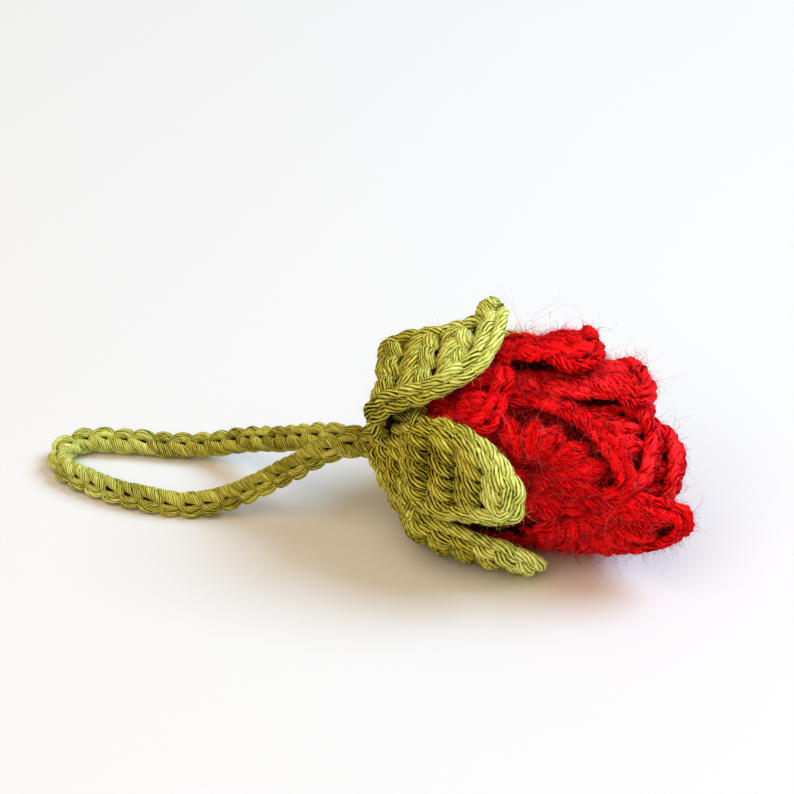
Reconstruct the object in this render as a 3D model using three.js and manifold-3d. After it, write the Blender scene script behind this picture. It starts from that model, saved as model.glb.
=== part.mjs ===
// Crochet rosebud charm: a strip of red petals rolled into a bud, a green calyx with five sepals, and a
// hanging loop of crocheted cord. Millimetres, +Z up. The bud lies on its side with its axis along +X.
import * as THREE from "three";
import { mergeVertices } from "three/addons/utils/BufferGeometryUtils.js";
import Module from "manifold-3d";

const wasm = await Module();
wasm.setup();

// Crocheted fabric and the gaps between pieces
const PETAL_THICKNESS = 3.0;
const SEPAL_THICKNESS = 2.8;
const CUP_WALL = 2.8;
const LAYER_GAP = 0.6; // between two turns of the rolled strip
const CLEARANCE = 0.35; // between pieces that rest on each other
const SIDE_GAP = 0.9; // between neighbouring petals of the strip
const BORDER_SHARE = 0.55; // a panel's thickness at its border, as a share of its full thickness

// The rolled strip. Angles turn about the bud's axis: 0 faces the viewer, 90 is up.
const BUD_LENGTH = 58; // from the calyx's pole to the tip of the longest petal
const STRIP_RADIUS = 19; // middle of the fabric at the strip's outer end
const STRIP_END_ANGLE = 44; // where the outer end lies
const CORE_RADIUS = 1.9; // middle of the fabric at the strip's inner end
const STRIP_PITCH = PETAL_THICKNESS + LAYER_GAP;
const BASE_SWELL = 0.62; // the strip is drawn in at its base by this share
const SWELL_LENGTH = 17; // and has its full radius this far along
const LEAN_POWER = 1.3; // 1 leans a petal evenly from its base, more bends it towards its edge

// The stitches' relief, on the outer faces
const RIB_PITCH = 4.6; // from one rib of a sepal to the next
const RIB_DEPTH = 1.2;
const TUFT_WIDTH = 4.6; // one tall stitch of the petal whose edge is rolled over
const TUFT_HEIGHT = 7.5;
const TUFT_DEPTH = 1.1;
const LIP_HEIGHT = 3.6; // how much of that petal's edge is rolled over
const BOBBLE_DIAMETER = 5.2;

// The calyx cup, measured along the axis from the outer face of its pole
const CUP_DEPTH = 8;
const POLE_FLAT_RADIUS = 4; // the flat patch that the loop is sewn to
const CUP_FLARE = 0.85; // 1 gives a plain cone, less a rounder one
const PETAL_BASE = CUP_DEPTH + 1.5; // where the petals start
const FLAT_DEPTH = 0.5; // what is pressed flat where the bud rests

// Yarn and cord
const BINDING_YARN = 1.6; // yarn wound round the rolled base
const SEWING_YARN = 1.0; // yarn that sews the cup to the bud
const CORD_DIAMETER = 4.4;
const ROOT_KNOT_DIAMETER = 5.2;
const LEG_SPACING = 4.8; // between the middles of the loop's two ends
const LEG_TWIST = 17; // degrees that the pair of ends is turned, the near one up
const LEG_SAG = 1.3; // how far the pair hangs below the bud's axis
const CORD_STEPS = 70;
const CORD_SIDES = 10;

const RED = { color: 0xb4121c, roughness: 0.9, metalness: 0 };
const GREEN = { color: 0x9aa03c, roughness: 0.8, metalness: 0 };

// One row for each petal of the strip, from its outer end inwards. span is in degrees along the roll, and the
// last one runs to the strip's inner end. notches are where the free edge meets the neighbours and bulge is
// how far the scallop stands out past them, as shares of the bud's length. peak is where across the petal it
// does so, and lean opens (or closes) the petal towards its edge. lip is the thickness of a rolled edge.
const PETALS = [
  { name: "petal_end", span: 40, notches: [0.37, 0.41], bulge: 0.04, peak: 0.5, lean: 0.02 },
  { name: "petal_outer_top", span: 70, notches: [0.58, 0.52], bulge: 0.13, peak: 0.4, lean: 0.2, lip: 5 },
  { name: "petal_outer_back", span: 110, notches: [0.53, 0.61], bulge: 0.2, peak: 0.5, lean: 0.1 },
  { name: "petal_outer_bottom", span: 103, notches: [0.53, 0.75], bulge: 0.3, peak: 0.8, lean: -0.06 },
  { name: "petal_outer_front", span: 65, notches: [0.72, 0.44], bulge: 0.2, peak: 0.55, lean: 0.06 },
  { name: "petal_inner_top", span: 98, notches: [0.8, 0.62], bulge: 0.1, peak: 0.3, lean: 0.12 },
  { name: "petal_inner_back", span: 93, notches: [0.66, 0.66], bulge: 0.18, peak: 0.5, lean: 0.05 },
  { name: "petal_inner_bottom", span: 95, notches: [0.66, 0.69], bulge: 0.18, peak: 0.5, lean: -0.05 },
  { name: "petal_inner_front", span: 87, notches: [0.7, 0.72], bulge: 0.19, peak: 0.5, lean: 0.06 },
  { name: "petal_heart_back", span: 178, notches: [0.74, 0.7], bulge: 0.14, peak: 0.5, lean: 0 },
  { name: "petal_heart_front", span: 185, notches: [0.72, 0.8], bulge: 0.2, peak: 0.6, lean: 0 },
  { name: "bud_core", span: null, notches: [0.8, 0.88], bulge: 0.07, peak: 0.5, lean: -0.14 },
];

// The petals that can be folded out without lifting another piece
const FREE_PETALS = ["petal_end", "petal_outer_top"];

// One row for each sepal. spine runs along the sepal's middle from its root: how far along from the rim,
// and how far out from the rim's outer radius. halves are its widths below and above the middle line, taper
// is how long each side keeps its width, and tip turns the tip round the bud in degrees. bobble is where a ball
// of wraps sits on the outer face: across in millimetres, and a share of the length.
const SEPALS = [
  {
    name: "sepal_top", angle: 80, halves: [11, 8], taper: [8, 3], tip: 22, bobble: [4.4, 0.93],
    spine: [
      [-5.2, -5], [-6, -2.4], [-5.8, 0.8], [-3.4, 3.1], [1, 3.9], [6, 5.2], [10, 6.6], [12.8, 8.2], [14.4, 10.2],
    ],
  },
  {
    name: "sepal_front", angle: 14, halves: [5.8, 10], taper: [2, 2], tip: -8,
    spine: [[0.4, -0.5], [5.4, 1.9], [12.4, 3.5], [20.2, 5.4]],
  },
  {
    name: "sepal_bottom_front", angle: -45, halves: [7.75, 7.75], taper: [2, 2], tip: -2,
    spine: [[0.4, -0.5], [5.4, 1.7], [12.4, 3.3], [23.8, 4.6]],
  },
  {
    name: "sepal_bottom_back", angle: -138, halves: [8.5, 8.5], taper: [2, 2], tip: 0,
    spine: [[0.4, -0.5], [5.4, 2.2], [12.4, 4.4], [20.4, 6.2]],
  },
  {
    name: "sepal_back", angle: 160, halves: [9.25, 9.25], taper: [2, 2], tip: 4,
    spine: [[0.4, -0.5], [5.4, 3], [12.4, 6.2], [19.4, 8.8]],
  },
];
const SCALLOP = 2.5; // 2 gives an oval free edge, more a squarer one
const SEPAL_WIDEST = 0.34; // where a sepal is widest, as a share of its length
const SEPAL_ROOT_SHARE = 0.86; // its width at the root, as a share of the widest

// The cord's middle line: along from the pole, across, and height above the surface. The first and last
// points are worked out at the root knot.
const NEAR_LEG = [
  [-8.4, -2.3, 17.1], [-10.8, -2.2, 15.5], [-13.4, -2, 13.4], [-20, -1.6, 8.6], [-26.5, -1.6, 4.5],
  [-33.5, -2.4, 2.4], [-45, -1.6, 2.4],
];
const LOOP_END = [[-55, 2, 2.4], [-60.8, 5.8, 2.5], [-62.8, 10.6, 2.6], [-59.4, 14.8, 2.5]];
const FAR_LEG = [
  [-51.5, 16, 2.4], [-41, 16, 2.4], [-33.5, 15.8, 3.6], [-27, 13.8, 6.6], [-20, 9.2, 10.4],
  [-13.5, 4.6, 14.6], [-10.6, 3.2, 16], [-8.3, 2.6, 16.7],
];

const radians = THREE.MathUtils.degToRad;

// The direction away from the bud's axis at an angle
function outward(angle) {
  return new THREE.Vector3(0, -Math.cos(radians(angle)), Math.sin(radians(angle)));
}

function onBud(along, radius, angle) {
  return outward(angle).multiplyScalar(radius).setX(along);
}

// How much of its full radius the strip has, at a distance along the axis
function swell(along) {
  const share = THREE.MathUtils.clamp((along - PETAL_BASE) / SWELL_LENGTH, 0, 1);
  return BASE_SWELL + (1 - BASE_SWELL) * Math.sin((share * Math.PI) / 2);
}

// The middle of the rolled strip's fabric, at an angle along the roll
function stripRadius(turn) {
  return STRIP_RADIUS - (STRIP_PITCH * turn) / 360;
}

const CORE_TURN = ((STRIP_RADIUS - CORE_RADIUS) / STRIP_PITCH) * 360;
const BUD_BASE_RADIUS = (STRIP_RADIUS + PETAL_THICKNESS / 2) * BASE_SWELL;
const RIM_INNER = BUD_BASE_RADIUS + CLEARANCE;
const RIM_OUTER = RIM_INNER + CUP_WALL;

// The outer side of a surface at u across and v from base to edge
function faceNormal(middle, u, v) {
  const nudge = 1e-3;
  const across = middle(Math.min(1, u + nudge), v).sub(middle(Math.max(0, u - nudge), v));
  const up = middle(u, Math.min(1, v + nudge)).sub(middle(u, Math.max(0, v - nudge)));
  return up.cross(across).normalize();
}

// A closed panel of fabric. middle(u, v) is a point of its middle surface, and outside(u, v) and inside(u, v)
// are how far its two faces lie from there. The sides and the free edge are thinned to a rounded border.
function panel(columns, rows, middle, outside, inside) {
  const faces = [];
  const points = { front: [], back: [] };
  for (let i = 0; i <= columns; i++) {
    for (let j = 0; j <= rows; j++) {
      const u = i / columns;
      const v = j / rows;
      const place = middle(u, v);
      const normal = faceNormal(middle, u, v);
      const border = i === 0 || i === columns || j === rows;
      const share = border ? BORDER_SHARE : 1;
      points.front.push(place.clone().addScaledVector(normal, outside(u, v) * share));
      points.back.push(place.clone().addScaledVector(normal, -inside(u, v) * share));
    }
  }
  const front = (i, j) => i * (rows + 1) + j;
  const back = (i, j) => points.front.length + front(i, j);
  const quad = (a, b, c, d) => faces.push(a, b, c, a, c, d);
  for (let i = 0; i < columns; i++) {
    for (let j = 0; j < rows; j++) {
      quad(front(i, j), front(i, j + 1), front(i + 1, j + 1), front(i + 1, j));
      quad(back(i, j), back(i + 1, j), back(i + 1, j + 1), back(i, j + 1));
    }
    quad(front(i, 0), front(i + 1, 0), back(i + 1, 0), back(i, 0));
    quad(front(i, rows), back(i, rows), back(i + 1, rows), front(i + 1, rows));
  }
  for (let j = 0; j < rows; j++) {
    quad(front(0, j), back(0, j), back(0, j + 1), front(0, j + 1));
    quad(front(columns, j), front(columns, j + 1), back(columns, j + 1), back(columns, j));
  }
  const geometry = new THREE.BufferGeometry().setFromPoints([...points.front, ...points.back]);
  geometry.setIndex(faces);
  geometry.computeVertexNormals();
  return geometry;
}

// A row of furrows: 1 at whole numbers, and 0 halfway between them
function furrow(place) {
  return Math.cos(Math.PI * place) ** 2;
}

// How far along the axis a petal's free edge is, at a place u across it
function petalEdge(petal, u) {
  const skewed = Math.pow(u, Math.log(0.5) / Math.log(petal.peak));
  const scallop = Math.pow(Math.max(0, 1 - Math.abs(2 * skewed - 1) ** SCALLOP), 1 / SCALLOP);
  const notch = THREE.MathUtils.lerp(petal.notches[0], petal.notches[1], u);
  return BUD_LENGTH * (notch + petal.bulge * scallop);
}

// Where a petal starts and ends, in degrees along the roll
function petalTurns(petal) {
  const before = PETALS.slice(0, PETALS.indexOf(petal));
  const from = before.reduce((sum, other) => sum + other.span, 0);
  return { from, to: petal.span === null ? CORE_TURN : from + petal.span };
}

function petalGeometry(petal) {
  const { from, to } = petalTurns(petal);
  const sideGap = THREE.MathUtils.radToDeg(SIDE_GAP / 2 / (stripRadius(to) * BASE_SWELL));
  const turnAt = (u) => THREE.MathUtils.lerp(from + sideGap, to - sideGap, u);
  const alongAt = (u, v) => THREE.MathUtils.lerp(PETAL_BASE, petalEdge(petal, u), v);
  const middle = (u, v) => {
    const turn = turnAt(u);
    const along = alongAt(u, v);
    const radius = stripRadius(turn) * swell(along) * (1 + petal.lean * v ** LEAN_POWER);
    return onBud(along, radius, STRIP_END_ANGLE + turn);
  };
  const half = (u, v) => (PETAL_THICKNESS / 2) * swell(alongAt(u, v));
  if (!petal.lip) {
    const columns = Math.max(8, Math.round((to - from) / 11));
    return panel(columns, 8, middle, half, half);
  }
  const tufts = Math.round((radians(to - from) * stripRadius(from)) / TUFT_WIDTH);
  const tuftRows = Math.round((petalEdge(petal, 0.5) - PETAL_BASE) / TUFT_HEIGHT);
  const rolled = (u, v) => {
    const share = (alongAt(u, v) - petalEdge(petal, u)) / LIP_HEIGHT + 1;
    const rise = Math.sin((THREE.MathUtils.clamp(2 * share, 0, 1) * Math.PI) / 2);
    return THREE.MathUtils.lerp(half(u, v), petal.lip / 2, rise);
  };
  const stitched = (u, v) => {
    const inLip = alongAt(u, v) > petalEdge(petal, u) - LIP_HEIGHT;
    const groove = TUFT_DEPTH * Math.max(furrow(tufts * u), furrow(tuftRows * v));
    return inLip ? rolled(u, v) : half(u, v) - groove;
  };
  return panel(4 * tufts, 5 * tuftRows, middle, stitched, rolled);
}

function petalHinge(petal) {
  const { from, to } = petalTurns(petal);
  const turn = (from + to) / 2;
  const angle = STRIP_END_ANGLE + turn;
  return { place: onBud(PETAL_BASE, stripRadius(turn) * BASE_SWELL, angle), angle };
}

// A sepal's width on one side of its middle line (0 below, 1 above), at a share v of its length
function sepalHalfWidth(sepal, side, v) {
  const half = sepal.halves[side];
  if (v < SEPAL_WIDEST) {
    return half * THREE.MathUtils.lerp(SEPAL_ROOT_SHARE, 1, Math.sin((v / SEPAL_WIDEST) * (Math.PI / 2)));
  }
  const past = (v - SEPAL_WIDEST) / (1 - SEPAL_WIDEST);
  return half * Math.sqrt(1 - 0.95 * past ** sepal.taper[side]);
}

function sepalSpine(sepal) {
  const place = ([along, out]) => new THREE.Vector3(CUP_DEPTH + along, RIM_OUTER + out, 0);
  const points = sepal.spine.map(place);
  return new THREE.CatmullRomCurve3(points, false, "centripetal");
}

function sepalGeometry(sepal) {
  const spine = sepalSpine(sepal);
  const middle = (u, v) => {
    const at = spine.getPointAt(v);
    const across = THREE.MathUtils.lerp(-sepalHalfWidth(sepal, 0, v), sepalHalfWidth(sepal, 1, v), u);
    const aside = THREE.MathUtils.radToDeg(across / at.y);
    return onBud(at.x, at.y, sepal.angle + sepal.tip * v * v + aside);
  };
  const half = SEPAL_THICKNESS / 2;
  const ribs = Math.round(spine.getLength() / RIB_PITCH);
  const ribbed = (u, v) => half - RIB_DEPTH * furrow(ribs * v);
  const fabric = panel(10, 4 * ribs, middle, ribbed, () => half);
  if (!sepal.bobble) return fabric;
  const [across, v] = sepal.bobble;
  const below = sepalHalfWidth(sepal, 0, v);
  const u = (across + below) / (below + sepalHalfWidth(sepal, 1, v));
  const place = middle(u, v).addScaledVector(faceNormal(middle, u, v), half);
  const ball = new THREE.SphereGeometry(BOBBLE_DIAMETER / 2, 12, 8).translate(...place);
  return geometryOf(solid(fabric).add(solid(ball)));
}

// A sepal folds out about the outer edge of its root.
function sepalHinge(sepal) {
  const spine = sepalSpine(sepal);
  const root = spine.getPointAt(0);
  const way = spine.getTangentAt(0).multiplyScalar(SEPAL_THICKNESS / 2);
  return { place: onBud(root.x - way.y, root.y + way.x, sepal.angle), angle: sepal.angle };
}

// Turned solids have their profile in (radius, along) and are laid down along the bud's axis.
function turned(profile) {
  const points = profile.map(([radius, along]) => new THREE.Vector2(radius, along));
  return new THREE.LatheGeometry(points, 32).rotateZ(-Math.PI / 2);
}

// The radius of a flared wall that runs from its floor to its rim, at a distance along
function wallRadius(floor, rim, start, end, along) {
  return floor + (rim - floor) * ((along - start) / (end - start)) ** CUP_FLARE;
}

// Such a wall as [radius, along] points
function wallProfile(floor, rim, start, end) {
  const steps = 10;
  const points = [];
  for (let k = 0; k <= steps; k++) {
    const along = THREE.MathUtils.lerp(start, end, k / steps);
    points.push([wallRadius(floor, rim, start, end, along), along]);
  }
  return points;
}

const CUP_FLOOR_RADIUS = POLE_FLAT_RADIUS / 2;

function cupGeometry() {
  const outside = wallProfile(POLE_FLAT_RADIUS, RIM_OUTER, 0, CUP_DEPTH);
  const inside = wallProfile(CUP_FLOOR_RADIUS, RIM_INNER, CUP_WALL, CUP_DEPTH);
  return turned([[0, 0], ...outside, ...inside.reverse(), [0, CUP_WALL]]);
}

// The rolled foundation edge fills the cup, with a groove for the yarn that binds it.
const BASE_START = CUP_WALL + CLEARANCE;
const BASE_SLANT = PETAL_THICKNESS / 5; // the petals flare, so their base edges reach back by this much
const BASE_END = PETAL_BASE - BASE_SLANT - CLEARANCE;
const GROOVE_ALONG = (BASE_START + BASE_END) / 2;
const BINDING_START = GROOVE_ALONG - BINDING_YARN / 2;
const CUP_AT_BINDING = wallRadius(CUP_FLOOR_RADIUS, RIM_INNER, CUP_WALL, CUP_DEPTH, BINDING_START);
const BINDING_RADIUS = CUP_AT_BINDING - 2 * CLEARANCE - BINDING_YARN / 2;

function rolledBaseGeometry() {
  const rim = RIM_INNER - 3 * CLEARANCE;
  const floor = CUP_FLOOR_RADIUS - CLEARANCE;
  const grooveHalf = BINDING_YARN / 2 + CLEARANCE;
  const grooveRadius = BINDING_RADIUS - grooveHalf;
  const grooveEnds = [GROOVE_ALONG - grooveHalf, GROOVE_ALONG + grooveHalf];
  const wall = wallProfile(floor, rim, BASE_START, CUP_DEPTH);
  const below = wall.filter(([, along]) => along < grooveEnds[0]);
  const above = wall.filter(([, along]) => along > grooveEnds[1]);
  const groove = [
    [below[below.length - 1][0], grooveEnds[0]],
    [grooveRadius, grooveEnds[0]],
    [grooveRadius, grooveEnds[1]],
    [above[0][0], grooveEnds[1]],
  ];
  return turned([[0, BASE_START], ...below, ...groove, ...above, [rim, BASE_END], [0, BASE_END]]);
}

function yarnRing(radius, along, diameter) {
  return new THREE.TorusGeometry(radius, diameter / 2, 8, 40).rotateY(Math.PI / 2).translate(along, 0, 0);
}

// Closed solids for cutting and joining
function solid(geometry) {
  const bare = geometry.clone();
  bare.deleteAttribute("normal");
  bare.deleteAttribute("uv");
  const merged = mergeVertices(bare);
  const vertProperties = merged.attributes.position.array;
  const triVerts = new Uint32Array(merged.index.array);
  return new wasm.Manifold(new wasm.Mesh({ numProp: 3, vertProperties, triVerts }));
}

function geometryOf(manifold) {
  const made = manifold.getMesh();
  const geometry = new THREE.BufferGeometry();
  geometry.setAttribute("position", new THREE.BufferAttribute(made.vertProperties, 3));
  geometry.setIndex(new THREE.BufferAttribute(made.triVerts, 1));
  geometry.computeVertexNormals();
  return geometry;
}

// Cuts away what lies below a height, where the bud is pressed flat by its own weight.
function cutFlat(geometry, height) {
  const size = 400;
  const below = new THREE.BoxGeometry(size, size, size).translate(0, 0, height - size / 2);
  return geometryOf(solid(geometry).subtract(solid(below)));
}

function piece(name, geometry, look, hinge) {
  const mesh = new THREE.Mesh(geometry, new THREE.MeshStandardMaterial(look));
  mesh.name = name;
  if (hinge) mesh.userData.hinge = hinge;
  return mesh;
}

const bud = new THREE.Group();
bud.add(piece("calyx_cup", cupGeometry(), GREEN));
bud.add(piece("rolled_base", rolledBaseGeometry(), RED));
bud.add(piece("base_binding_yarn", yarnRing(BINDING_RADIUS, GROOVE_ALONG, BINDING_YARN), RED));
const sewingAlong = CUP_DEPTH + CLEARANCE + SEWING_YARN / 2;
bud.add(piece("calyx_sewing_yarn", yarnRing(RIM_INNER + CLEARANCE / 2, sewingAlong, SEWING_YARN), GREEN));
for (const petal of PETALS) {
  const hinge = FREE_PETALS.includes(petal.name) ? petalHinge(petal) : null;
  bud.add(piece(petal.name, petalGeometry(petal), RED, hinge));
}
for (const sepal of SEPALS) {
  bud.add(piece(sepal.name, sepalGeometry(sepal), GREEN, sepalHinge(sepal)));
}

// The bud is set down so that its lowest pieces are pressed flat.
const budBox = new THREE.Box3().setFromObject(bud);
const AXIS_HEIGHT = -budBox.min.z - FLAT_DEPTH;
for (const mesh of bud.children) {
  mesh.geometry.computeBoundingBox();
  if (mesh.geometry.boundingBox.min.z < -AXIS_HEIGHT) mesh.geometry = cutFlat(mesh.geometry, -AXIS_HEIGHT);
}

// The hanging loop leaves the root knot as two legs side by side and lies on the surface.
const KNOT_ALONG = -CLEARANCE - ROOT_KNOT_DIAMETER / 2;
const LEG_START = KNOT_ALONG - ROOT_KNOT_DIAMETER / 2 - CLEARANCE;

function legStart(side) {
  const across = side * (LEG_SPACING / 2) * Math.cos(radians(LEG_TWIST));
  const height = AXIS_HEIGHT - LEG_SAG - side * (LEG_SPACING / 2) * Math.sin(radians(LEG_TWIST));
  return [LEG_START, across, height];
}

function cordGeometry() {
  const route = [legStart(-1), ...NEAR_LEG, ...LOOP_END, ...FAR_LEG, legStart(1)];
  const place = ([along, across, height]) => new THREE.Vector3(along, across, height - AXIS_HEIGHT);
  const path = new THREE.CatmullRomCurve3(route.map(place), false, "centripetal");
  const round = new THREE.EllipseCurve(0, 0, CORD_DIAMETER / 2, CORD_DIAMETER / 2);
  const section = new THREE.Shape(round.getPoints(CORD_SIDES));
  return new THREE.ExtrudeGeometry(section, { steps: CORD_STEPS, extrudePath: path, curveSegments: 1 });
}

const knotPlace = new THREE.Vector3(KNOT_ALONG, 0, 0);
const loop = new THREE.Group();
const knot = new THREE.SphereGeometry(ROOT_KNOT_DIAMETER / 2, 20, 14).translate(KNOT_ALONG, 0, 0);
loop.add(piece("loop_root_knot", knot, GREEN, { place: knotPlace }));
loop.add(piece("hanging_loop", cordGeometry(), GREEN, { place: knotPlace }));

// The origin is under the middle of the bud, on the surface that it lies on.
const middleOfBud = budBox.getCenter(new THREE.Vector3());
const rose = new THREE.Group();
rose.add(bud, loop);
rose.position.set(-middleOfBud.x, -middleOfBud.y, AXIS_HEIGHT);

export default rose;
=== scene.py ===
"""A crochet rosebud of red wool in a green calyx, with its hanging loop, stitch by stitch in real yarn."""

import math

import bpy
import numpy as np
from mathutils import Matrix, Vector


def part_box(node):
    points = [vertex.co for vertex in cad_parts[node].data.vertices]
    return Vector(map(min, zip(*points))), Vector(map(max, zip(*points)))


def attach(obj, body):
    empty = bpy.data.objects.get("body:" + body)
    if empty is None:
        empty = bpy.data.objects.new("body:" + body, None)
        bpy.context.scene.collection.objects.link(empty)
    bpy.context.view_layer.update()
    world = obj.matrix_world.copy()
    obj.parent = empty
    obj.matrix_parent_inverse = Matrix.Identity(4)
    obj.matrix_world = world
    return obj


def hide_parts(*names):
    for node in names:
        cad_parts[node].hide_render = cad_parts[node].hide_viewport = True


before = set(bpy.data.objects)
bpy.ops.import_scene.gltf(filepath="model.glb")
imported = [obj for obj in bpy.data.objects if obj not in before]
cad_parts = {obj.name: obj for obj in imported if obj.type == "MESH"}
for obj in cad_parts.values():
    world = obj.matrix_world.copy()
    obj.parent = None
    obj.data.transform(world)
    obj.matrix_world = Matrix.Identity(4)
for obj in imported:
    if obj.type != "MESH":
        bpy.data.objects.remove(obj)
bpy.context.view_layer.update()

# Lengths are in millimetres in the yarn work, and in metres in the materials, floor, camera and lamps.
MM = 0.001
SEED = 11
rng = np.random.default_rng(SEED)

# Where the bud lies. Angles turn about its axis, which runs along x: 0 faces the viewer, 90 is up.
cup_low, cup_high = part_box("calyx_cup")
POLE_X = cup_low.x / MM
AXIS_Y = (cup_low.y + cup_high.y) / 2 / MM
AXIS_Z = (cup_low.z + cup_high.z) / 2 / MM

# The calyx cup and its rows of stitches
CUP_DEPTH = (cup_high.x - cup_low.x) / MM
RIM_OUTER = (cup_high.y - cup_low.y) / 2 / MM
CUP_WALL = 2.8
CUP_FLARE = 0.85
POLE_FLAT_RADIUS = 4.0
PATH_START_RADIUS = 0.3
CUP_ROWS = 4
CUP_FIRST_ROW = 1.2
CUP_PAST_RIM = 0.9

# The rolled strip of petals
BUD_LENGTH = 58.0
STRIP_RADIUS = 19.0
STRIP_END_ANGLE = 44.0
STRIP_PITCH = 3.6
CORE_RADIUS = 1.9
CORE_TURN = (STRIP_RADIUS - CORE_RADIUS) / STRIP_PITCH * 360
BASE_SWELL = 0.62
SWELL_LENGTH = 17.0
PETAL_BASE = CUP_DEPTH + 1.5
PETAL_CLEARANCE = 0.45
SCALLOP = 2.5
LEAN_POWER = 1.3
LEAN_END = 1.05

# name, body, span along the roll, notches, bulge, peak, lean, and where the fan of posts starts
PETALS = [
    ("petal_end", "petal_end", 40, (0.37, 0.41), 0.04, 0.5, 0.02, None),
    ("petal_outer_top", "petal_outer_top", 70, (0.58, 0.52), 0.13, 0.4, 0.2, (0.0, -4.0)),
    ("petal_outer_back", "bud", 110, (0.53, 0.61), 0.2, 0.5, 0.1, (0.0, -4.0)),
    ("petal_outer_bottom", "bud", 103, (0.53, 0.75), 0.3, 0.8, -0.06, (11.0, 28.5)),
    ("petal_outer_front", "bud", 65, (0.72, 0.44), 0.2, 0.55, 0.06, (-5.4, 20.5)),
    ("petal_inner_top", "bud", 98, (0.8, 0.62), 0.1, 0.3, 0.12, (-4.0, 8.0)),
    ("petal_inner_back", "bud", 93, (0.66, 0.66), 0.18, 0.5, 0.05, (0.0, 2.0)),
    ("petal_inner_bottom", "bud", 95, (0.66, 0.69), 0.18, 0.5, -0.05, (0.0, 2.0)),
    ("petal_inner_front", "bud", 87, (0.7, 0.72), 0.19, 0.5, 0.06, (0.0, 8.0)),
    ("petal_heart_back", "bud", 178, (0.74, 0.7), 0.14, 0.5, 0.0, None),
    ("petal_heart_front", "bud", 185, (0.72, 0.8), 0.2, 0.6, 0.0, None),
    ("bud_core", "bud", None, (0.8, 0.88), 0.07, 0.5, -0.14, None),
]

# The edge of a petal: thickness against the usual one, pitch of stitches, height above the middle, and outward turn
USUAL_LIP = (1.0, 3.3, 0.15, 0.35)
LIPS = {
    "petal_end": (1.0, 3.3, 0.15, 1.2),
    "petal_outer_top": (1.3, 4.2, -0.75, 0.35),
    "petal_outer_bottom": (1.0, 3.3, 0.15, 1.2),
    "petal_outer_front": (1.0, 3.3, 0.15, 1.2),
    "petal_inner_front": (1.2, 3.3, 0.15, 0.35),
    "petal_heart_back": (1.25, 3.3, 0.15, 0.35),
    "petal_heart_front": (1.25, 3.3, 0.15, 0.35),
    "bud_core": (1.3, 3.3, 0.15, 0.35),
}
LIP_INSET = 1.5
LIP_WIDTH = 2.5
LIP_YARN = 0.92
LIP_HOLD = 0.4

# Rows of tall stitches: length, spacing, gap between rows, nearest to the feet, and inset from the petal's edge
USUAL_ROWS = (6.4, 4.6, 1.7, 0.8, 2.6)
OPEN_ROWS = (9.5, 5.4, 2.2, 2.6, 4.0)
OPEN_PETALS = ("petal_outer_front", "petal_outer_bottom")

# How far above the strip's base the sides of a fan start
USUAL_FAN_START = 9
FAN_STARTS = {"petal_outer_bottom": 2}

# The petals that show the most fibres, and those on the lit side, whose wool is painted paler as painted light
FUZZY = ("petal_outer_top", "petal_outer_bottom", "petal_outer_front", "petal_inner_top", "petal_heart_front")
SUNLIT = ("petal_inner_top", "petal_inner_front", "petal_heart_front", "petal_heart_back")
SUNLIT_PAINTED_LIGHT = 0.5
FUZZY_FIBRES = 4500
USUAL_FIBRES = 1600

# Sepals: name, angle, widths below and above the middle line, how long each side keeps its width, turn of the tip,
# and the spine as (along from the rim, out from the rim)
TOP_SPINE = [
    (-5.2, -5), (-6, -2.4), (-5.8, 0.8), (-3.4, 3.1), (1, 3.9), (6, 5.2), (10, 6.6), (12.8, 8.2), (14.4, 10.2),
]
SEPALS = [
    ("sepal_top", 80, (9.4, 8), (14, 3), 22, TOP_SPINE),
    ("sepal_front", 14, (6.1, 9.6), (1.1, 1.6), -8, [(0.4, -0.5), (5.4, 1.9), (12.4, 3.5), (20.2, 5.4)]),
    ("sepal_bottom_front", -45, (7.75, 7.75), (2, 2), -2, [(0.4, -0.5), (5.4, 1.7), (12.4, 3.3), (23.8, 4.6)]),
    ("sepal_bottom_back", -138, (8.5, 8.5), (2, 2), 0, [(0.4, -0.5), (5.4, 2.2), (12.4, 4.4), (20.4, 6.2)]),
    ("sepal_back", 160, (7.2, 9.25), (1.5, 2), 4, [(0.4, -0.5), (5.4, 3.0), (12.4, 6.2), (19.4, 8.8)]),
]
SEPAL_WIDEST = 0.34
SEPAL_ROOT_SHARE = 0.86
SEPAL_TIP_CUT = 0.95
SPINE_STEPS = 200

# The cord's middle line: along from the pole, across, and height above the floor
CORD_DIAMETER = 4.4
CORD_PITCH = 3.9
CORD_FACING = np.array([0.1, -0.72, 0.68])
LEG_SPACING = 4.8
LEG_TWIST = math.radians(17)
LEG_SAG = 1.3
LEG_START = -5.9
NEAR_LEG = [
    (-8.4, -2.3, 17.1), (-10.8, -2.2, 15.5), (-13.4, -2, 13.4), (-20, -1.6, 8.6), (-26.5, -1.6, 4.5),
    (-33.5, -2.4, 2.4), (-45, -1.6, 2.4),
]
LOOP_END = [(-55, 2, 2.4), (-60.8, 5.8, 2.5), (-62.8, 10.6, 2.6), (-59.4, 14.8, 2.5)]
FAR_LEG = [
    (-51.5, 16, 2.4), (-41, 16, 2.4), (-33.5, 15.8, 3.6), (-27, 13.8, 6.6), (-20, 9.2, 10.4),
    (-13.5, 4.6, 14.6), (-10.6, 3.2, 16), (-8.3, 2.6, 16.7),
]
CORD_STEPS = 400

# The cord gets paler towards the loop's end, as painted light on its lit end
CORD_PAINTED_LIGHT = (0.1, 0.55)
CORD_PAINTED_LIGHT_START = 36
CORD_PAINTED_LIGHT_RUN = 20

# How the yarn lies: in green stitches, in the cord, in the cord's outer edge, and in the red wool
PLIED = {"sides": 14, "plies": 9, "twist": 0.5}
CORDED = {"sides": 14, "plies": 10, "twist": 1.2}
SCALLOPED = {"sides": 14, "plies": 9, "twist": 0.4}
WOOLLY = {"sides": 12, "plies": 8, "twist": 0.75, "lump": 0.14, "rough": 0.13}
PLAIN_SIDES = 8
RED_YARN = 0.78
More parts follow.
